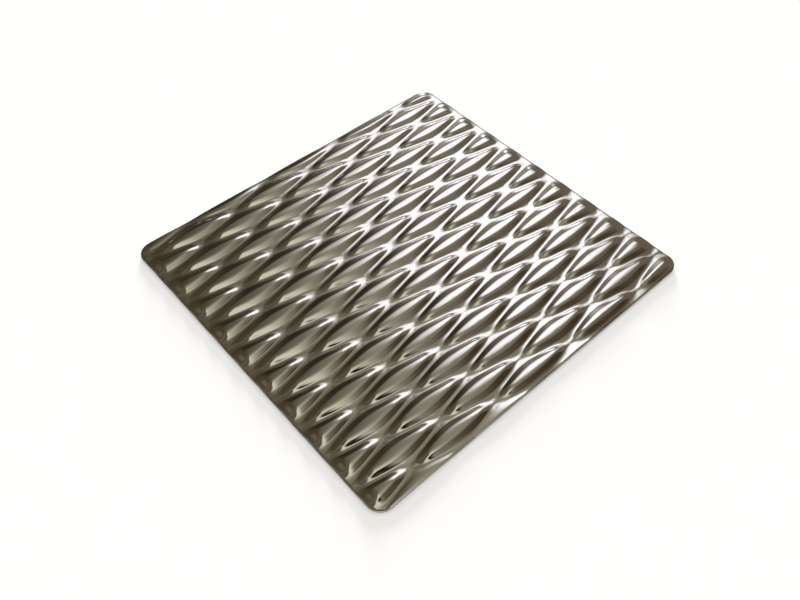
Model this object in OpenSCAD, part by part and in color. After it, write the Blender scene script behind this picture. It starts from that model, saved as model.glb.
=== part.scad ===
/* [Sheet] */
// Length of each side of the square sheet
sheet_side = 100; // [60:5:120]
// Radius of its rounded corners, seen from above
corner_radius = 4; // [1:0.5:10]
// Thickness of the steel
steel_thickness = 0.8; // [0.5:0.1:1.2]

/* [Leaf] */
// Length of one raised leaf, from tip to tip
leaf_length = 20.4; // [15:0.1:22]
// Width of one raised leaf across its middle
leaf_width = 6.5; // [5:0.1:6.6]
// Height of a leaf's crest above the flat land around it
leaf_height = 0.7; // [0.5:0.1:1.2]
// How far each flank's arc is set across the crest line, which leaves a faint keel there
keel_offset = 0.15; // [0.05:0.05:0.5]

/* [Pattern] */
// Distance from one leaf to the next along a row
leaf_pitch = 9.57; // [9.2:0.01:12]
// Distance from one row to the next, which stands half a pitch aside
row_pitch = 12.09; // [11.5:0.01:15]
// Turn of the rows against the cut edges, in degrees
row_turn = -1.4; // [-5:0.1:5]
// Turn of the leaves' long axes against the cut edges, in degrees
leaf_turn = -0.5; // [-5:0.1:5]
// Middle of the leaf that lies nearest the middle of the sheet, across the leaves
first_leaf_x = -1.16; // [-4.5:0.01:4.5]
// Middle of the same leaf, along the leaves
first_leaf_y = -0.1; // [-6:0.01:6]

/* [Hidden] */
$fn = 96;

half_side = sheet_side / 2;
half_length = leaf_length / 2;
half_width = leaf_width / 2;

// A leaf's plan is bounded by two equal arcs, which meet in its tips
plan_radius = (half_length * half_length + half_width * half_width) / leaf_width;
plan_offset = plan_radius - half_width;

// Its flank falls from crest to land in an arc, which the rolls press from the flat sheet
flank_reach = half_width + keel_offset;
flank_radius = (flank_reach * flank_reach + leaf_height * leaf_height) / (2 * leaf_height);

// How far a leaf's solid reaches past the surface that it is joined to or cut from
root_depth = 0.2;
// Spare length by which cutting and trimming shapes pass the surfaces they trim
spare = 1;
// A leaf is left out where no more than this much of its thin tip would reach over the edge
tip_sliver = 1.2;

row_step = leaf_pitch * [cos(row_turn), sin(row_turn)];
column_step = row_pitch * [-sin(row_turn), cos(row_turn)];
rows_out = ceil((half_side + half_length) / row_pitch);
leaves_out = ceil((half_side + leaf_pitch) / leaf_pitch) + 1;

// Middle of the leaf that lies `along` leaves and `up` rows away from the first
function leaf_middle(along, up) =
    [first_leaf_x, first_leaf_y] + (along + (up % 2 == 0 ? 0 : 0.5)) * row_step + up * column_step;

function on_sheet(middle) =
    abs(middle[0]) < half_side + half_width
    && abs(middle[1]) < half_side + half_length - tip_sliver;

leaf_middles = [
    for (up = [-rows_out : rows_out])
        for (along = [-leaves_out : leaves_out])
            if (on_sheet(leaf_middle(along, up))) leaf_middle(along, up)
];

// A flat-topped disc whose rim falls off in the flank's arc, less `inset` all round
module domed_disc(inset) {
    arc_middle = plan_offset - keel_offset;
    rim_height = root_depth + inset + leaf_height + spare;
    rotate_extrude() {
        translate([arc_middle - leaf_width, -root_depth - inset])
            square([leaf_width, rim_height]);
        intersection() {
            translate([arc_middle, leaf_height - flank_radius])
                circle(r = flank_radius - inset);
            translate([arc_middle - root_depth, -root_depth - inset])
                square([leaf_width, rim_height]);
        }
    }
}

// One leaf is what two such discs on either side of it have in common
module leaf(inset) {
    intersection() {
        translate([-plan_offset, 0, 0])
            domed_disc(inset);
        translate([plan_offset, 0, 0])
            domed_disc(inset);
    }
}

module leaves(inset) {
    translate([0, 0, steel_thickness])
        for (middle = leaf_middles)
            translate(middle)
                rotate(leaf_turn)
                    leaf(inset);
}

module cut_outline() {
    straight = sheet_side - 2 * corner_radius;
    square([straight, sheet_side], center = true);
    square([sheet_side, straight], center = true);
    for (x = [-1, 1], y = [-1, 1])
        translate([x, y] * straight / 2)
            circle(r = corner_radius);
}

// The embossed steel, cut out of a wider sheet so that the leaves on its edges are cut through
module sheet() {
    color([0.78, 0.77, 0.74])
        intersection() {
            translate([0, 0, -spare])
                linear_extrude(steel_thickness + leaf_height + 2 * spare)
                    cut_outline();
            difference() {
                union() {
                    translate([-half_side - spare, -half_side - spare, 0])
                        cube([sheet_side + 2 * spare, sheet_side + 2 * spare, steel_thickness]);
                    leaves(0);
                }
                leaves(steel_thickness);
            }
        }
}

sheet();
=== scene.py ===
# %% [markdown]
# The object is one thin square of bright stainless steel with a staggered pattern of raised,
# leaf-shaped pods rolled into it. The frame holds its exact solid. Here the same sheet is made
# again as a finer mesh, because on polished steel every bend shows as a line of light: the
# round crests, the soft bends where a leaf runs out into the flat land, and the deburred edge.

# %% Load the frame
import math
import bpy
import bmesh
import numpy as np
from mathutils import Matrix, Vector


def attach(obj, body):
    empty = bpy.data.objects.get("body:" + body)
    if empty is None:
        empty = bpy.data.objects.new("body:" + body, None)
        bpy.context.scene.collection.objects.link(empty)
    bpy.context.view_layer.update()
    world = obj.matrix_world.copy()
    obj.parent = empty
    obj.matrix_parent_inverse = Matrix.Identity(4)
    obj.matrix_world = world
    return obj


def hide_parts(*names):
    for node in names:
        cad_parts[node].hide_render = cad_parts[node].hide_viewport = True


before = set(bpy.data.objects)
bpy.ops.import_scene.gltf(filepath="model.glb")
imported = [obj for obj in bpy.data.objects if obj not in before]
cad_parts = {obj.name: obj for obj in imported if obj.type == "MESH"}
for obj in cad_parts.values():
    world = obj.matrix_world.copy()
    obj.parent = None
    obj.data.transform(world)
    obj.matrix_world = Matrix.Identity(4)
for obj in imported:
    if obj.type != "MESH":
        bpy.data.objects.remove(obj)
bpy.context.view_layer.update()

MM = 0.001

# %% [markdown]
# Everything follows from a few shop sizes. The sheet is cut 100 mm square, and the leaves
# repeat at the pitch of the embossing rolls. The rows and the leaves' long axes run a degree
# or so out of line with the cut edges, as in any piece that is cut out of a wider sheet.

# %% Sizes of the sheet and of its pattern, in millimetres and degrees
SHEET_SIDE = 100.0
CORNER_RADIUS = 4.0
STEEL_THICKNESS = 0.8
EDGE_ROUNDING = 0.07

LEAF_PITCH = 9.57
ROW_PITCH = 12.09
ROW_TURN = math.radians(-1.4)
LEAF_TURN = math.radians(-0.5)
FIRST_LEAF = np.array([-1.16, -0.1])

HALF_SIDE = SHEET_SIDE / 2
ROW_STEP = LEAF_PITCH * np.array([math.cos(ROW_TURN), math.sin(ROW_TURN)])
COLUMN_STEP = ROW_PITCH * np.array([-math.sin(ROW_TURN), math.cos(ROW_TURN)])
LEAF_AXES = np.array([[math.cos(LEAF_TURN), math.sin(LEAF_TURN)],
                      [-math.sin(LEAF_TURN), math.cos(LEAF_TURN)]])
print("Leaves across the sheet:", round(SHEET_SIDE / LEAF_PITCH, 1))

# %% [markdown]
# A leaf is pressed up from below, so its crest is full and nearly level along most of its
# length, its flanks are steepest halfway down, and a soft bend runs out into the land, which
# sinks a hair between two leaves. Three curves say all of this: how wide the leaf is along its
# length, how its height falls across it, and how its crest falls towards the tips. Each is a
# spline through a few points, because a jump in the bend of polished steel shows as a kink in
# a line of light. A plain arc would leave a sharp crease at the foot, which rolls can't press.

# %% The three curves of a leaf
LEAF_HEIGHT = 0.69
WIDTH_AT = np.array([0.0, 3.0, 6.0, 9.0, 12.0])
WIDTH = np.array([2.34, 2.11, 1.62, 1.36, 1.50])
FLANK_AT = np.array([0.0, 0.30, 0.60, 0.85, 1.05, 1.20, 1.35, 1.55, 1.80, 2.04])
FLANK = np.array([1.0, 0.971, 0.792, 0.526, 0.317, 0.157, 0.073, 0.011, -0.031, 0.0])
CREST_AT = np.array([0.0, 3.0, 5.5, 7.25, 8.5, 9.5, 10.5])
CREST = np.array([1.0, 0.991, 0.943, 0.860, 0.711, 0.575, 0.499])


def knot_slopes(knots, values):
    """Slopes at the points of the one curve whose bend never jumps, level at both ends."""
    gaps = np.diff(knots)
    steps = np.diff(values) / gaps
    terms, sums = np.eye(len(knots)), np.zeros(len(knots))
    for i in range(1, len(knots) - 1):
        terms[i, i - 1:i + 2] = gaps[i], 2 * (gaps[i - 1] + gaps[i]), gaps[i - 1]
        sums[i] = 3 * (gaps[i] * steps[i - 1] + gaps[i - 1] * steps[i])
    return np.linalg.solve(terms, sums)


def smooth_curve(knots, values, at):
    """A curve through the points, without any jump in its bend."""
    slopes = knot_slopes(knots, values)
    at = np.clip(at, knots[0], knots[-1])
    i = np.clip(np.searchsorted(knots, at, side="right") - 1, 0, len(knots) - 2)
    width = knots[i + 1] - knots[i]
    t = (at - knots[i]) / width
    rise = values[i + 1] - values[i]
    bend_in = slopes[i] * width - rise
    bend_out = slopes[i + 1] * width - rise
    return values[i] + t * rise + t * (1 - t) * ((1 - t) * bend_in - t * bend_out)


# The height across a leaf is read by how far out a point lies, as a share of the leaf's width.
# Near the tips the way along the leaf counts too, which closes its outline in a round.
TIP_REACH = 9.98
TIP_ROUNDNESS = 3.39


def leaf_relief(across, along):
    """Height of one leaf above the land at a point in its own axes."""
    along = np.abs(along)
    share = np.hypot(across / smooth_curve(WIDTH_AT, WIDTH, along), (along / TIP_REACH) ** TIP_ROUNDNESS)
    return LEAF_HEIGHT * smooth_curve(FLANK_AT, FLANK, share) * smooth_curve(CREST_AT, CREST, along)


print("A leaf's height in mm, every 2 mm from its middle to its tip:",
      [round(float(leaf_relief(0.0, y)), 2) for y in range(0, 13, 2)])

# %% [markdown]
# Along the cut edges the leaves are lower. The blade and the hold-down of the shears press
# them down over a few millimetres, and the cut draws the very edge of the face down in a
# small roll. Both are worked out from how far a point lies inside the cut outline, so the
# whole relief is one sum that can be asked for its height, and its slope, anywhere.

# %% The whole pattern and its pressed edges
PRESSED_WIDTH = 3.2
PRESSED_SHARE = 0.3
ROLLOVER_WIDTH = 0.55
ROLLOVER_DEPTH = 0.09
SLOPE_STEP = 0.01


def inside_edge(xy):
    """How far each point lies inside the cut outline."""
    past = np.abs(xy) - (HALF_SIDE - CORNER_RADIUS)
    beyond = np.linalg.norm(np.maximum(past, 0), axis=1) + np.minimum(past.max(axis=1), 0)
    return CORNER_RADIUS - beyond


def relief(xy):
    """Height of the embossed steel above the land at each point, pressed down along the cut."""
    height = np.zeros(len(xy))
    repeat = np.stack([ROW_STEP, 2 * COLUMN_STEP])
    for start in (FIRST_LEAF, FIRST_LEAF + ROW_STEP / 2 + COLUMN_STEP):
        steps = np.round((xy - start) @ np.linalg.inv(repeat))
        from_leaf = xy - start - steps @ repeat
        across, along = (from_leaf @ LEAF_AXES.T).T
        height += leaf_relief(across, along)
    share = np.clip(inside_edge(xy) / PRESSED_WIDTH, 0, 1)
    eased = share ** 2 * (3 - 2 * share)
    return height * (PRESSED_SHARE + (1 - PRESSED_SHARE) * eased)


def face_height(xy):
    """Height of the upper face, which the shears also draw down a little at the very edge."""
    near_edge = np.clip(1 - inside_edge(xy) / ROLLOVER_WIDTH, 0, 1)
    return relief(xy) - ROLLOVER_DEPTH * near_edge ** 2


def normals_of(height, xy):
    """Unit normals of a surface whose height is given, from the curves themselves."""
    dx, dy = np.array([SLOPE_STEP, 0.0]), np.array([0.0, SLOPE_STEP])
    slope_x = (height(xy + dx) - height(xy - dx)) / (2 * SLOPE_STEP)
    slope_y = (height(xy + dy) - height(xy - dy)) / (2 * SLOPE_STEP)
    normals = np.column_stack([-slope_x, -slope_y, np.ones(len(xy))])
    return normals / np.linalg.norm(normals, axis=1, keepdims=True)


some_points = np.random.default_rng(1).uniform(-40, 40, (20000, 2))
steepest = normals_of(relief, some_points)[:, 2].min()
print("Height over a leaf's middle:", round(float(relief(FIRST_LEAF[None])[0]), 3), "mm")
print("Steepest flank:", round(math.degrees(math.acos(steepest)), 1), "degrees")

# %% [markdown]
# The mesh follows the leaves instead of lying over them as an even grid. An even grid fine
# enough for the bends would need many times the triangles, and its steps would show in the
# highlights. The land is divided into diamonds, one round each leaf, and in each diamond
# rings of points grow from the leaf's middle through the bend at its foot to the diamond's
# border. Where rows interlock, a leaf is wider than a straight-sided diamond. The borders
# therefore sway aside in a gentle wave, which fits the neighbour's border turned about.

# %% Plan of one diamond
# The bend line of the mesh lies this share of the leaf's width out and this far along it
BEND_SHARE = 1.2
BEND_LENGTH = 9.6
TIP_BLUNTNESS = 5
BORDER_SWAY = 0.45


def bend_line(shares):
    """Points round a leaf along the bend at its foot, blunt at both tips."""
    along = BEND_LENGTH * shares
    across = BEND_SHARE * smooth_curve(WIDTH_AT, WIDTH, along) * np.sqrt(1 - shares ** TIP_BLUNTNESS)
    rise = np.column_stack([across, along])
    fall = np.column_stack([-across, along])[1:][::-1]
    half = np.concatenate([rise, [[0.0, BEND_LENGTH]], fall])
    return np.concatenate([half, -half])


def diamond_border(even):
    """Points round the border, closer together near its corners, the same from either side."""
    shares = (even + (1 - np.cos(math.pi * even)) / 2)[:, None] / 2
    sway = BORDER_SWAY * np.sin(2 * math.pi * shares) * np.array([1.0, 0.0])
    corners = [ROW_STEP / 2, COLUMN_STEP, -ROW_STEP / 2, -COLUMN_STEP]
    sides = []
    for number, start in enumerate(corners):
        end = corners[(number + 1) % 4]
        sides.append(start + shares * (end - start) + (sway if number > 1 else -sway))
    return np.concatenate(sides)


def diamond_plan(steps_per_side, rings_at, land_rings):
    """Points in sheet axes round a leaf's middle, ring by ring, and the faces between them."""
    even = np.arange(steps_per_side) / steps_per_side
    closer_at_tips = (even + np.sin(math.pi / 2 * even)) / 2
    bend = bend_line(closer_at_tips) @ LEAF_AXES
    rings = [bend * s for s in rings_at]
    border = diamond_border(even)
    rings += [rings[-1] + s * (border - rings[-1]) for s in land_rings]
    count = len(bend)
    faces = [(0, 1 + i, 1 + (i + 1) % count) for i in range(count)]
    for ring in range(len(rings) - 1):
        inner = 1 + ring * count
        for i in range(count):
            j = (i + 1) % count
            faces.append((inner + i, inner + count + i, inner + count + j, inner + j))
    return np.concatenate([np.zeros((1, 2))] + rings), faces


def leaf_middles():
    """Middles of all leaves whose diamonds reach the sheet."""
    rows = math.ceil((HALF_SIDE + ROW_PITCH) / ROW_PITCH)
    leaves = math.ceil((HALF_SIDE + LEAF_PITCH) / LEAF_PITCH) + 1
    middles = []
    for up in range(-rows, rows + 1):
        for aside in range(-leaves, leaves + 1):
            middle = FIRST_LEAF + (aside + (up % 2) / 2) * ROW_STEP + up * COLUMN_STEP
            if abs(middle[0]) < HALF_SIDE + LEAF_PITCH / 2 and abs(middle[1]) < HALF_SIDE + ROW_PITCH:
                middles.append(middle)
    return middles


print("Diamonds on and around the sheet:", len(leaf_middles()))

# %% [markdown]
# The wide plan is then cut to the sheet's outline as shears and a corner punch would cut it,
# with bisecting planes. What is left is a flat net whose rim is exactly the cut outline, and
# the relief is read for each of its points afterwards.

# %% Cut the net to the outline
# Planes round each corner, how far in from a cut its faces may reach, and two tolerances, in mm
CORNER_CUTS = 8
NEAR_EDGE = 2.0
ON_PLANE = 1e-5
SAME_POINT = 0.002


def with_corners(faces):
    """Faces together with their edges and points, as the cutting tool wants them."""
    parts = dict.fromkeys(faces)
    for face in faces:
        parts.update(dict.fromkeys(face.verts))
        parts.update(dict.fromkeys(face.edges))
    return list(parts)


def slice_net(net, parts, point, facing, trim):
    """Cuts faces along a plane, and takes away what lies outside it where trim is set."""
    bmesh.ops.bisect_plane(net, geom=parts, dist=ON_PLANE, plane_co=point, plane_no=facing,
                           clear_outer=trim)


def trim_to_outline(net, edge_lines):
    """Cuts the net at its sides and corners, less the rounding, with lines of points near them."""
    for side in (Vector((1, 0, 0)), Vector((-1, 0, 0)), Vector((0, 1, 0)), Vector((0, -1, 0))):
        everything = net.verts[:] + net.edges[:] + net.faces[:]
        slice_net(net, everything, side * (HALF_SIDE - EDGE_ROUNDING), side, True)
        for inside in edge_lines:
            reach = HALF_SIDE - inside - NEAR_EDGE
            near = [f for f in net.faces if max(v.co.dot(side) for v in f.verts) > reach]
            slice_net(net, with_corners(near), side * (HALF_SIDE - inside), side, False)
    middle = HALF_SIDE - CORNER_RADIUS
    reach = middle - 2 * CORNER_RADIUS
    for sx, sy in ((1, 1), (-1, 1), (-1, -1), (1, -1)):
        corner = Vector((sx * middle, sy * middle, 0))
        for cut in range(CORNER_CUTS):
            angle = math.pi / 2 * (cut + 0.5) / CORNER_CUTS
            out = Vector((sx * math.cos(angle), sy * math.sin(angle), 0))
            near = [f for f in net.faces if min(v.co.x * sx for v in f.verts) > reach
                    and min(v.co.y * sy for v in f.verts) > reach]
            slice_net(net, with_corners(near), corner + out * (CORNER_RADIUS - EDGE_ROUNDING), out, True)


def rim_of(net):
    """The net's outer points in order, anticlockwise."""
    follow = {}
    for edge in net.edges:
        if len(edge.link_faces) == 1:
            loop = edge.link_loops[0]
            follow[loop.vert.index] = loop.link_loop_next.vert.index
    rim = [next(iter(follow))]
    for _ in range(len(follow) - 1):
        rim.append(follow[rim[-1]])
    if follow[rim[-1]] != rim[0] or len(set(rim)) < len(rim):
        raise ValueError("The net has a second rim")
    return rim


def cut_net(steps_per_side, rings_at, land_rings, edge_lines):
    """A flat net of diamonds cut to the outline: its points, its faces and its rim."""
    points, faces = diamond_plan(steps_per_side, rings_at, land_rings)
    verts, all_faces = [], []
    for number, middle in enumerate(leaf_middles()):
        verts.append(points + middle)
        all_faces += [tuple(number * len(points) + i for i in face) for face in faces]
    verts = np.concatenate(verts)
    mesh = bpy.data.meshes.new("net")
    mesh.from_pydata(np.column_stack([verts, np.zeros(len(verts))]).tolist(), [], all_faces)
    net = bmesh.new()
    net.from_mesh(mesh)
    bpy.data.meshes.remove(mesh)
    bmesh.ops.remove_doubles(net, verts=net.verts, dist=SAME_POINT)
    trim_to_outline(net, edge_lines)
    bmesh.ops.triangulate(net, faces=[f for f in net.faces if len(f.verts) > 4])
    net.verts.index_update()
    xy = np.array([v.co.xy for v in net.verts])
    polygons = [[v.index for v in f.verts] for f in net.faces]
    rim = rim_of(net)
    net.free()
    print("A net of", len(xy), "points,", sum(len(p) - 2 for p in polygons), "triangles, rim of", len(rim))
    return xy, polygons, rim


# Rings as shares of the bend line, rings over the land as shares of the way from there to the
# border, and lines of points at these distances inside the cut edges
FACE_RINGS = (0.25, 0.42, 0.55, 0.66, 0.76, 0.84, 0.91, 0.97, 1.02)
FACE_LAND_RINGS = (0.25, 0.5, 0.75, 1.0)
FACE_EDGE_LINES = (0.2, 0.5, 1.0, 1.7, 2.5)
BACK_RINGS = (0.4, 0.7, 1.0)
BACK_LAND_RINGS = (0.3, 1.0)
BACK_EDGE_LINES = (0.7, 1.5)

face_xy, face_polygons, face_rim = cut_net(14, FACE_RINGS, FACE_LAND_RINGS, FACE_EDGE_LINES)
back_xy, back_polygons, back_rim = cut_net(8, BACK_RINGS, BACK_LAND_RINGS, BACK_EDGE_LINES)

# %% [markdown]
# The underside keeps the steel's thickness square to the embossed face, so each leaf has its
# hollow beneath it, with a tighter crest and a wider foot than on the face. Where a point of
# the underside comes from is found by a few rounds of stepping back along the normal.

# %% The underside
STEPS_BACK = 8


def back_points(xy):
    """Points of the underside and their normals, square beneath the embossed face."""
    above = xy.copy()
    for _ in range(STEPS_BACK):
        normals = normals_of(relief, above)
        above = xy + STEEL_THICKNESS * normals[:, :2]
    normals = normals_of(relief, above)
    z = STEEL_THICKNESS + relief(above) - STEEL_THICKNESS * normals[:, 2]
    return np.column_stack([xy, np.maximum(z, 0)]), -normals


deepest = back_points(FIRST_LEAF[None])[0][0, 2]
print("The hollow under a leaf is", round(float(deepest), 2), "mm deep")

# %% [markdown]
# The cut edge is a wall between the two rims with a small rounding on each, since a handled
# piece is deburred. The two rims have different numbers of points. The wall therefore walks
# along both at once and always takes its next triangle towards the rim that lags behind.

# %% The cut edge
def outward(xy):
    """Direction square to the cut outline in plan."""
    past = np.maximum(np.abs(xy) - (HALF_SIDE - CORNER_RADIUS), 0)
    out = np.sign(xy) * past
    return out / np.linalg.norm(out, axis=1, keepdims=True)


def rounding(points, rim, side):
    """Two rings that carry a rim round its small edge rounding; side is 1 above and -1 below."""
    start, out = points[rim], outward(points[rim, :2])
    rings, ring_normals = [], []
    for angle in (math.pi / 4, math.pi / 2):
        ring = start.copy()
        ring[:, :2] += out * EDGE_ROUNDING * math.sin(angle)
        ring[:, 2] -= side * EDGE_ROUNDING * (1 - math.cos(angle))
        rings.append(ring)
        up = np.full(len(rim), side * math.cos(angle))
        ring_normals.append(np.column_stack([out * math.sin(angle), up]))
    return rings, ring_normals


def ring_faces(upper, lower):
    """Quads between two rings with as many points."""
    count = len(upper)
    return [(upper[i], lower[i], lower[(i + 1) % count], upper[(i + 1) % count]) for i in range(count)]


def wall_faces(upper, lower, points):
    """Triangles between two rings with different numbers of points, matched by direction."""
    def opened(ring):
        angles = np.arctan2(points[ring, 1], points[ring, 0])
        first = int(np.argmin(angles))
        ring = list(np.roll(ring, -first))
        return ring + ring[:1], np.append(np.roll(angles, -first), angles[first] + 2 * math.pi)
    upper, upper_angles = opened(upper)
    lower, lower_angles = opened(lower)
    i = j = 0
    faces = []
    last_i, last_j = len(upper) - 1, len(lower) - 1
    while i < last_i or j < last_j:
        if i < last_i and (j == last_j or upper_angles[i + 1] <= lower_angles[j + 1]):
            faces.append((upper[i], lower[j], upper[i + 1]))
            i += 1
        else:
            faces.append((upper[i], lower[j], lower[j + 1]))
            j += 1
    return faces


print("The rims have", len(face_rim), "points above and", len(back_rim), "below")

# %% [markdown]
# Face, underside, roundings and wall are joined to one closed mesh. Its normals come from the
# relief itself, so the reflections are as smooth as the real surface and not as the triangles.
# Two values are kept at every point for the material: how far it belongs to the cut edge, and
# whether it lies at the edge's top or foot.

# %% The sheet as one mesh
def keep_value(mesh, name, values):
    """A value at every point, which the material can read."""
    kept = mesh.attributes.new(name, "FLOAT", "POINT")
    kept.data.foreach_set("value", values.astype(np.float32))


def build_sheet():
    """The whole sheet as one closed mesh with exact normals."""
    face_points = np.column_stack([face_xy, STEEL_THICKNESS + face_height(face_xy)])
    under_points, under_normals = back_points(back_xy)
    top_rings, top_normals = rounding(face_points, face_rim, 1)
    low_rings, low_normals = rounding(under_points, back_rim, -1)
    parts = [face_points, under_points] + top_rings + low_rings
    points = np.concatenate(parts)
    normals = [normals_of(face_height, face_xy), under_normals] + top_normals + low_normals
    starts = np.cumsum([0] + [len(part) for part in parts])
    under = starts[1]
    top_1, top_2, low_1, low_2 = [np.arange(starts[n], starts[n + 1]) for n in (2, 3, 4, 5)]
    faces = list(face_polygons)
    faces += [[under + i for i in reversed(polygon)] for polygon in back_polygons]
    faces += ring_faces(np.array(face_rim), top_1) + ring_faces(top_1, top_2)
    faces += ring_faces(low_2, low_1) + ring_faces(low_1, under + np.array(back_rim))
    faces += wall_faces(top_2, low_2, points)
    mesh = bpy.data.meshes.new("embossed_sheet")
    mesh.from_pydata((points * MM).tolist(), [], [[int(i) for i in face] for face in faces])
    mesh.shade_smooth()
    mesh.normals_split_custom_set_from_vertices(np.concatenate(normals).tolist())
    on_edge = np.zeros(len(points))
    on_edge[starts[2]:] = 0.5
    on_edge[top_2] = on_edge[low_2] = 1.0
    keep_value(mesh, "cut_edge", on_edge)
    depth = np.zeros(len(points))
    depth[under:starts[2]] = 1.0
    depth[starts[4]:] = 1.0
    keep_value(mesh, "wall_depth", depth)
    return mesh


sheet_mesh = build_sheet()
steel = bpy.data.objects.new("embossed_sheet", sheet_mesh)
bpy.context.scene.collection.objects.link(steel)
check = bmesh.new()
check.from_mesh(sheet_mesh)
open_edges = sum(1 for e in check.edges if len(e.link_faces) != 2)
print("The sheet has", sum(len(f.verts) - 2 for f in check.faces), "triangles,", open_edges, "open edges")
print("It holds", round(check.calc_volume() / MM ** 3, 1), "cubic mm of steel")
check.free()

# %% [markdown]
# The materials and the studio are made of shader nodes. A few short helpers keep them readable:
# one adds a node and plugs its inputs, two start a node group with named sockets and place it,
# and the others are sums, blends and a soft step from one range of values to another.

# %% Node helpers
def add(tree, kind, inputs=None, **settings):
    """A node with its settings; inputs are values, or sockets to link from."""
    node = tree.nodes.new(kind)
    for name, value in settings.items():
        setattr(node, name, value)
    for name, value in (inputs or {}).items():
        socket = node.inputs[name]
        if isinstance(value, bpy.types.NodeSocket):
            tree.links.new(value, socket)
        else:
            socket.default_value = value
    return node


def math_node(tree, operation, *values):
    """The result of one sum on one, two or three values."""
    return add(tree, "ShaderNodeMath", dict(enumerate(values)), operation=operation).outputs[0]


def new_group(name, inputs, outputs):
    """A node group; each of its inputs is (name, kind, value), each output (name, kind)."""
    group = bpy.data.node_groups.new(name, "ShaderNodeTree")
    for label, kind, value in inputs:
        socket = group.interface.new_socket(label, in_out="INPUT", socket_type="NodeSocket" + kind)
        socket.default_value = value
    for label, kind in outputs:
        group.interface.new_socket(label, in_out="OUTPUT", socket_type="NodeSocket" + kind)
    return group, group.nodes.new("NodeGroupInput"), group.nodes.new("NodeGroupOutput")


def use(tree, group, inputs=None):
    """A group placed in a tree."""
    return add(tree, "ShaderNodeGroup", inputs, node_tree=group)


def mix_colour(tree, share, below, above):
    """Blend of two colours, by the sockets that a mix node keeps for colours."""
    node = tree.nodes.new("ShaderNodeMix")
    node.data_type = "RGBA"
    for socket, value in ((node.inputs[0], share), (node.inputs[6], below), (node.inputs[7], above)):
        if isinstance(value, bpy.types.NodeSocket):
            tree.links.new(value, socket)
        else:
            socket.default_value = value
    return node.outputs[2]


def spread(tree, value, low, high, to_low, to_high):
    """A value mapped smoothly from one range to another."""
    inputs = {"Value": value, "From Min": low, "From Max": high, "To Min": to_low, "To Max": to_high}
    return add(tree, "ShaderNodeMapRange", inputs, interpolation_type="SMOOTHSTEP").outputs["Result"]


def mix_values(tree, share, below, above):
    """Blend of two values."""
    return add(tree, "ShaderNodeMix", {0: share, 2: below, 3: above}).outputs[0]


print("Node helpers are ready")

# %% [markdown]
# Bright cold-rolled steel isn't a perfect mirror. The mill's rolls leave a very fine grain
# along the strip, the embossing leaves the sheet faintly uneven over a few millimetres, and
# hands leave a few dull smudges. All three are far too small to model, so they are bumps and
# roughness. Sizes inside the groups are in millimetres, which the groups make from metres.

# %% Groups for what the surface carries
# Marks per mm across the strip, along it and through it
FINE_GRAIN = (6.0, 0.45, 1.0)
COARSE_GRAIN = (1.7, 0.12, 0.5)
SHORT_WAVES = (0.55, 0.40, 0.5)
LONG_WAVES = (0.11, 0.09, 0.1)
SMUDGES = (0.045, 0.06, 0.05)
SPECKLE = (0.9, 0.9, 0.9)
TORN_LINE = (0.8, 0.8, 0.0)
SHEAR_STROKES = (11.0, 11.0, 0.8)
TORN_PITS = (7.0, 7.0, 7.0)
COARSE_WEIGHT = 2.0
LONG_WEIGHT = 3.0
TORN_WANDER = 0.3
TORN_FROM, TORN_TO = 0.42, 0.56
SHEAR_MARKS_MM = 0.012


def stretched_noise(tree, vector, per_mm, detail, rough):
    """Noise whose frequency differs by direction."""
    scaled = add(tree, "ShaderNodeVectorMath", {0: vector, 1: per_mm}, operation="MULTIPLY").outputs[0]
    inputs = {"Vector": scaled, "Scale": 1.0, "Detail": detail, "Roughness": rough}
    return add(tree, "ShaderNodeTexNoise", inputs).outputs["Fac"]


def surface_group(name, inputs, outputs):
    """A group that starts from a position in metres, which it turns into millimetres."""
    group, inside, outside = new_group(name, [("Position", "Vector", (0, 0, 0))] + inputs, outputs)
    mm = add(group, "ShaderNodeVectorMath", {0: inside.outputs["Position"], 1: (1 / MM, 1 / MM, 1 / MM)},
             operation="MULTIPLY").outputs[0]
    return group, inside, outside, mm


def grain_group():
    """Fine grain along the strip, as a height in mm."""
    group, inside, outside, mm = surface_group("Rolled grain", [("Height", "Float", 0.0003)],
                                               [("Grain", "Float")])
    fine = stretched_noise(group, mm, FINE_GRAIN, 3.0, 0.6)
    coarse = stretched_noise(group, mm, COARSE_GRAIN, 2.0, 0.5)
    both = math_node(group, "ADD", fine, math_node(group, "MULTIPLY", coarse, COARSE_WEIGHT))
    group.links.new(math_node(group, "MULTIPLY", both, inside.outputs["Height"]), outside.inputs["Grain"])
    return group


def unevenness_group():
    """Faint waves a few mm long that the embossing leaves, as a height in mm."""
    group, inside, outside, mm = surface_group("Unevenness", [("Height", "Float", 0.004)],
                                               [("Waves", "Float")])
    short = stretched_noise(group, mm, SHORT_WAVES, 1.0, 0.4)
    long = stretched_noise(group, mm, LONG_WAVES, 1.0, 0.4)
    both = math_node(group, "ADD", short, math_node(group, "MULTIPLY", long, LONG_WEIGHT))
    group.links.new(math_node(group, "MULTIPLY", both, inside.outputs["Height"]), outside.inputs["Waves"])
    return group


def smudges_group():
    """Soft patches where the sheet was handled, from 0 to 1."""
    group, inside, outside, mm = surface_group("Smudges", [("Amount", "Float", 1.0)], [("Mask", "Float")])
    wide = stretched_noise(group, mm, SMUDGES, 3.0, 0.55)
    patches = spread(group, wide, 0.48, 0.68, 0.0, 1.0)
    speckle = stretched_noise(group, mm, SPECKLE, 2.0, 0.6)
    mask = math_node(group, "MULTIPLY", patches, spread(group, speckle, 0.3, 0.7, 0.55, 1.0))
    group.links.new(math_node(group, "MULTIPLY", mask, inside.outputs["Amount"]), outside.inputs["Mask"])
    return group


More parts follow.
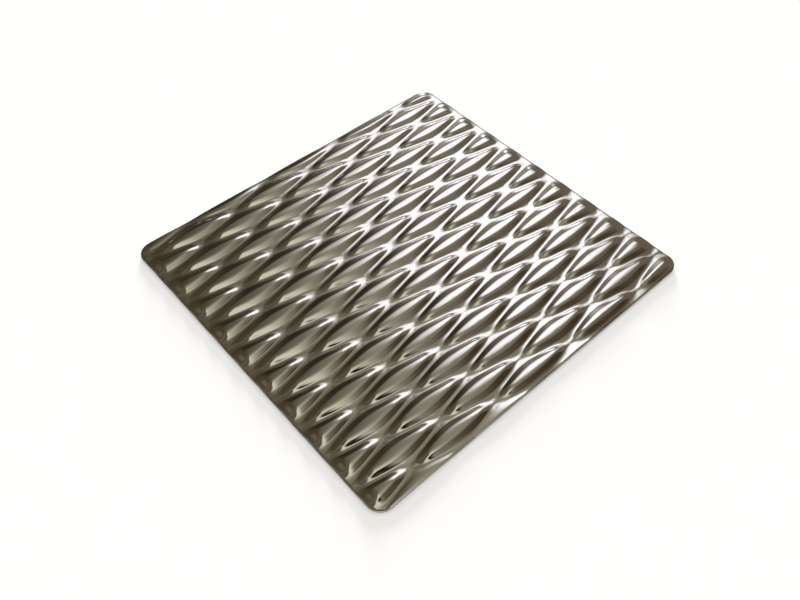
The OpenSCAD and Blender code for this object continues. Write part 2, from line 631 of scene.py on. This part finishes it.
def shear_group():
    """What the shears leave on a cut edge: a burnished band above, torn steel below."""
    group, inside, outside, mm = surface_group("Sheared edge", [("Depth", "Float", 0.0)],
                                               [("Torn", "Float"), ("Height", "Float")])
    wander = stretched_noise(group, mm, TORN_LINE, 2.0, 0.5)
    wavy = math_node(group, "MULTIPLY", wander, TORN_WANDER)
    line = math_node(group, "ADD", inside.outputs["Depth"], wavy)
    torn = spread(group, line, TORN_FROM, TORN_TO, 0.0, 1.0)
    strokes = stretched_noise(group, mm, SHEAR_STROKES, 2.0, 0.6)
    pits = stretched_noise(group, mm, TORN_PITS, 3.0, 0.6)
    rough = mix_values(group, torn, strokes, pits)
    group.links.new(torn, outside.inputs["Torn"])
    group.links.new(math_node(group, "MULTIPLY", rough, SHEAR_MARKS_MM), outside.inputs["Height"])
    return group


grain, unevenness, smudges, shear = grain_group(), unevenness_group(), smudges_group(), shear_group()
print("Surface groups:", [g.name for g in (grain, unevenness, smudges, shear)])

# %% [markdown]
# The steel itself is a metal throughout, so its colour is the tint of what it mirrors: a
# slightly warm grey, a little darker where the surface scatters light. The crests touch
# whatever the sheet is stacked on, so they are burnished smoother than the land.

# %% Polished steel
STEEL_TINT = (0.63, 0.61, 0.575, 1)
DULL_TINT = (0.56, 0.54, 0.505, 1)
TORN_TINT = (0.36, 0.34, 0.315, 1)
LAND_ROUGHNESS = 0.075
CREST_ROUGHNESS = 0.060
SMUDGE_ROUGHNESS = 0.05
SMUDGE_DULLNESS = 0.35
SHORN_ROUGHNESS = 0.26
TORN_ROUGHNESS = 0.46
GRAIN_HEIGHT_MM = 0.00012
WAVE_HEIGHT_MM = 0.0016


def steel_material():
    """The polished steel, with its grain, waves, smudges and sheared edge."""
    material = bpy.data.materials.new("polished_steel")
    material.use_nodes = True
    tree = material.node_tree
    shader = tree.nodes["Principled BSDF"]
    position = tree.nodes.new("ShaderNodeTexCoord").outputs["Object"]
    edge = add(tree, "ShaderNodeAttribute", attribute_name="cut_edge").outputs["Fac"]
    depth = add(tree, "ShaderNodeAttribute", attribute_name="wall_depth").outputs["Fac"]
    grain_height = use(tree, grain, {"Position": position, "Height": GRAIN_HEIGHT_MM}).outputs["Grain"]
    waves = use(tree, unevenness, {"Position": position, "Height": WAVE_HEIGHT_MM}).outputs["Waves"]
    smudge = use(tree, smudges, {"Position": position}).outputs["Mask"]
    cut = use(tree, shear, {"Position": position, "Depth": depth})
    on_edge = spread(tree, edge, 0.45, 0.95, 0.0, 1.0)
    height_z = add(tree, "ShaderNodeSeparateXYZ", {0: position}).outputs["Z"]
    land, crest = STEEL_THICKNESS * MM, (STEEL_THICKNESS + LEAF_HEIGHT) * MM
    above_land = spread(tree, height_z, land, crest, 0.0, 1.0)
    dull = math_node(tree, "MULTIPLY", smudge, SMUDGE_DULLNESS)
    tint = mix_colour(tree, dull, STEEL_TINT, DULL_TINT)
    cut_tint = mix_colour(tree, cut.outputs["Torn"], DULL_TINT, TORN_TINT)
    tree.links.new(mix_colour(tree, on_edge, tint, cut_tint), shader.inputs["Base Color"])
    clean_rough = mix_values(tree, above_land, LAND_ROUGHNESS, CREST_ROUGHNESS)
    smudge_rough = math_node(tree, "MULTIPLY", smudge, SMUDGE_ROUGHNESS)
    face_rough = math_node(tree, "ADD", clean_rough, smudge_rough)
    cut_rough = mix_values(tree, cut.outputs["Torn"], SHORN_ROUGHNESS, TORN_ROUGHNESS)
    tree.links.new(mix_values(tree, on_edge, face_rough, cut_rough), shader.inputs["Roughness"])
    face_bumps = math_node(tree, "ADD", grain_height, waves)
    height = mix_values(tree, on_edge, face_bumps, cut.outputs["Height"])
    bump = add(tree, "ShaderNodeBump", {"Strength": 1.0, "Distance": MM, "Height": height})
    tree.links.new(bump.outputs["Normal"], shader.inputs["Normal"])
    shader.inputs["Metallic"].default_value = 1.0
    return material


steel.data.materials.append(steel_material())
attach(steel, "root")
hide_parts("sheet")
print("The steel's nodes:", len(steel.data.materials[0].node_tree.nodes))

# %% [markdown]
# The camera looks down on the sheet from over its near corner, at about fifty degrees above
# the floor and from close by, so the near corner spreads and the far one draws together. The
# sheet sits a little left of where the lens points, which a small sideways shift brings in.

# %% Camera
PICTURE_WIDTH = 800
FOCAL_PIXELS = 784.1
SIDEWAYS_PIXELS = -75
CAMERA_ROLL = math.radians(0.44)
CAMERA_PLACE = Vector((109.4, -80.2, 153.3)) * MM
LOOKS_AT = Vector((22.3, 3.3, STEEL_THICKNESS)) * MM

view = bpy.data.cameras.new("camera")
view.sensor_width = 36
view.lens = FOCAL_PIXELS / PICTURE_WIDTH * view.sensor_width
view.shift_x = SIDEWAYS_PIXELS / PICTURE_WIDTH
view.clip_start = 5 * MM
camera = bpy.data.objects.new("camera", view)
bpy.context.scene.collection.objects.link(camera)
bpy.context.scene.camera = camera
camera.location = CAMERA_PLACE
camera.rotation_mode = "QUATERNION"
aim = (LOOKS_AT - CAMERA_PLACE).to_track_quat("-Z", "Y")
camera.rotation_quaternion = aim @ Matrix.Rotation(CAMERA_ROLL, 3, "Z").to_quaternion()
print("Camera", round((LOOKS_AT - CAMERA_PLACE).length / MM), "mm from the sheet")
print("Lens", round(view.lens, 1), "mm")

# %% [markdown]
# What a polished sheet looks like is what stands round it. In the photo that is a plain room
# with a large soft lamp and a white backdrop behind the sheet, a pale ceiling overhead and
# brown shade between them. The world shader builds that room from soft-edged oval panels on a
# map of the sky, where a point's distance from the middle is its angle from straight up. The
# camera is one of them, a small dark panel that the near leaves mirror. A real studio set of
# cloth and card would do as well, but the panels are quicker to place by what the leaves show.

# %% The room that the steel mirrors
NEARLY_NOTHING = 1e-9


def sky_map_group():
    """A direction as a point on a flat map, in degrees from straight up."""
    group, inside, outside = new_group("Sky map", [("Direction", "Vector", (0, 0, 1))], [("Map", "Vector")])
    parts = add(group, "ShaderNodeSeparateXYZ", {0: inside.outputs["Direction"]})
    up = parts.outputs["Z"]
    angle = math_node(group, "MULTIPLY", math_node(group, "ARCCOSINE", up), 180 / math.pi)
    left_over = math_node(group, "SUBTRACT", 1.0, math_node(group, "MULTIPLY", up, up))
    across = math_node(group, "SQRT", math_node(group, "MAXIMUM", left_over, NEARLY_NOTHING))
    scale = math_node(group, "DIVIDE", angle, across)
    x = math_node(group, "MULTIPLY", parts.outputs["X"], scale)
    y = math_node(group, "MULTIPLY", parts.outputs["Y"], scale)
    flat = add(group, "ShaderNodeCombineXYZ", {"X": x, "Y": y})
    group.links.new(flat.outputs[0], outside.inputs["Map"])
    return group


def panel_group():
    """A soft-edged oval of one colour on the sky map, laid over what is behind it."""
    group, inside, outside = new_group("Soft panel", [
        ("Map", "Vector", (0, 0, 0)), ("Middle", "Vector", (0, 0, 0)), ("Half Size", "Vector", (10, 10, 1)),
        ("Turn", "Float", 0.0), ("Softness", "Float", 0.5), ("Colour", "Color", (1, 1, 1, 1)),
        ("Behind", "Color", (0, 0, 0, 1))], [("Colour", "Color")])
    off = add(group, "ShaderNodeVectorMath", {0: inside.outputs["Map"], 1: inside.outputs["Middle"]},
              operation="SUBTRACT").outputs[0]
    turn_back = math_node(group, "MULTIPLY", inside.outputs["Turn"], -1.0)
    turned = add(group, "ShaderNodeVectorRotate", {"Vector": off, "Angle": turn_back},
                 rotation_type="Z_AXIS").outputs[0]
    share = add(group, "ShaderNodeVectorMath", {0: turned, 1: inside.outputs["Half Size"]},
                operation="DIVIDE").outputs[0]
    reach = add(group, "ShaderNodeVectorMath", {0: share}, operation="LENGTH").outputs["Value"]
    near = math_node(group, "SUBTRACT", 1.0, inside.outputs["Softness"])
    far = math_node(group, "ADD", 1.0, inside.outputs["Softness"])
    mask = spread(group, reach, near, far, 1.0, 0.0)
    group.links.new(mix_colour(group, mask, inside.outputs["Behind"], inside.outputs["Colour"]),
                    outside.inputs["Colour"])
    return group


ROOM_COLOUR = (0.356, 0.330, 0.265)
# Each panel: what it is, its middle and half size in degrees on the sky map, its turn in degrees,
# the softness of its edge and its colour, where 1 is white and a lamp is brighter
PANELS = [
    ("ceiling", (-7, 5), (50, 11), -18, 0.49, (0.90, 0.91, 0.74)),
    ("beam below the ceiling", (-12, 0), (22, 5), -17, 0.12, (0.15, 0.12, 0.10)),
    ("shade left of the ceiling", (-54, -1), (51, 14), 22, 0.58, (0.17, 0.15, 0.10)),
    ("dark left wall", (-70, 16), (28, 30), 24, 0.86, (0.04, 0.03, 0.02)),
    ("grey beside the backdrop", (-75, 45), (9, 15), 64, 1.0, (0.53, 0.47, 0.43)),
    ("brown wall behind", (-4, 51), (149, 20), -32, 0.28, (0.19, 0.16, 0.12)),
    ("dark right corner", (23, 40), (14, 24), -23, 0.58, (0.07, 0.05, 0.03)),
    ("lamp's cloth", (-36, 35), (16, 14), 29, 0.26, (0.90, 0.86, 0.89)),
    ("lamp's bright middle", (-33, 32), (13, 9), -20, 0.35, (1.63, 1.66, 1.74)),
    ("white backdrop", (-77, 51), (18, 7), -5, 0.46, (2.62, 2.80, 3.09)),
    ("shade in front", (-50, -1), (81, 7), -13, 1.0, (0.09, 0.07, 0.04)),
    ("camera", (21, 2), (10, 6), -44, 0.49, (0.01, 0.01, 0.005)),
    ("dark room in front", (5, -62), (90, 40), -8, 0.35, (0.07, 0.06, 0.045)),
    ("dark room at the right", (75, 18), (34, 56), 0, 0.45, (0.16, 0.145, 0.115)),
    ("window in front at the right", (58, -50), (17, 13), 45, 0.45, (1.30, 1.30, 1.30)),
    ("window in front at the left", (-58, -52), (17, 12), -45, 0.50, (0.80, 0.80, 0.82)),
]


def build_world():
    """The room behind every reflection, and plain white straight behind the sheet."""
    world = bpy.data.worlds.new("studio")
    bpy.context.scene.world = world
    world.use_nodes = True
    tree = world.node_tree
    direction = tree.nodes.new("ShaderNodeTexCoord").outputs["Generated"]
    sky_map = use(tree, sky_map_group(), {"Direction": direction}).outputs["Map"]
    panel = panel_group()
    colour = ROOM_COLOUR + (1,)
    for name, middle, half, turn, softness, tint in PANELS:
        placed = use(tree, panel, {"Map": sky_map, "Middle": middle + (0,), "Half Size": half + (1,),
                                   "Turn": math.radians(turn), "Softness": softness, "Colour": tint + (1,),
                                   "Behind": colour})
        placed.label = name
        colour = placed.outputs["Colour"]
    seen = tree.nodes.new("ShaderNodeLightPath").outputs["Is Camera Ray"]
    shown = mix_colour(tree, seen, colour, (1, 1, 1, 1))
    tree.links.new(shown, tree.nodes["Background"].inputs["Color"])


build_world()
print("Panels in the room:", len(PANELS))

# %% [markdown]
# The floor is a wide sheet of white card. The photo's shadow is faint and lies only along the
# two near edges, where it fades out over a centimetre beside a sheet that is hardly more than
# a millimetre high. That takes a wide lamp very low behind the far corner. A second, overhead
# one fills in. Both light the floor and not the mirror, because the room already holds the
# lamp that the steel shows. The card's own faint glow is for the camera and for reflections
# alone, and brings it just to white there.

# %% Floor and lamps
FLOOR_HALF = 3000 * MM
FLOOR_GLOW = 0.27
CARD_DARK = (0.79, 0.79, 0.80, 1)
CARD_LIGHT = (0.82, 0.82, 0.83, 1)
FIBRES_PER_METRE = (900.0, 900.0, 900.0)


def floor_material():
    """White card with faint fibres."""
    material = bpy.data.materials.new("white_card")
    material.use_nodes = True
    tree = material.node_tree
    shader = tree.nodes["Principled BSDF"]
    position = tree.nodes.new("ShaderNodeTexCoord").outputs["Object"]
    fibres = stretched_noise(tree, position, FIBRES_PER_METRE, 3.0, 0.6)
    tree.links.new(mix_colour(tree, fibres, CARD_DARK, CARD_LIGHT), shader.inputs["Base Color"])
    shader.inputs["Roughness"].default_value = 0.9
    shader.inputs["Specular IOR Level"].default_value = 0.1
    path = tree.nodes.new("ShaderNodeLightPath")
    seen = math_node(tree, "MAXIMUM", path.outputs["Is Camera Ray"], path.outputs["Is Glossy Ray"])
    seen = math_node(tree, "MAXIMUM", seen, path.outputs["Is Transmission Ray"])
    shader.inputs["Emission Color"].default_value = (1, 1, 1, 1)
    tree.links.new(math_node(tree, "MULTIPLY", seen, FLOOR_GLOW), shader.inputs["Emission Strength"])
    return material


card = bpy.data.meshes.new("floor")
card_corners = [(-FLOOR_HALF, -FLOOR_HALF, 0), (FLOOR_HALF, -FLOOR_HALF, 0),
                (FLOOR_HALF, FLOOR_HALF, 0), (-FLOOR_HALF, FLOOR_HALF, 0)]
card.from_pydata(card_corners, [], [(0, 1, 2, 3)])
floor = bpy.data.objects.new("floor", card)
# A hair below the sheet, so that the two don't lie in one plane
floor.location.z = -0.02 * MM
bpy.context.scene.collection.objects.link(floor)
card.materials.append(floor_material())


def add_sun(name, strength, spread_degrees, comes_from):
    """A distant lamp that lights matt things and isn't mirrored by the steel."""
    lamp = bpy.data.lights.new(name, "SUN")
    lamp.energy = strength
    lamp.angle = math.radians(spread_degrees)
    placed = bpy.data.objects.new(name, lamp)
    placed.rotation_mode = "QUATERNION"
    placed.rotation_quaternion = Vector(comes_from).to_track_quat("Z", "Y")
    placed.visible_glossy = False
    bpy.context.scene.collection.objects.link(placed)


add_sun("low_lamp", 5.6, 13, (-0.76, 0.65, 0.14))
add_sun("overhead_fill", 1.35, 120, (0.0, 0.0, 1.0))
bpy.context.scene.view_settings.view_transform = "Standard"
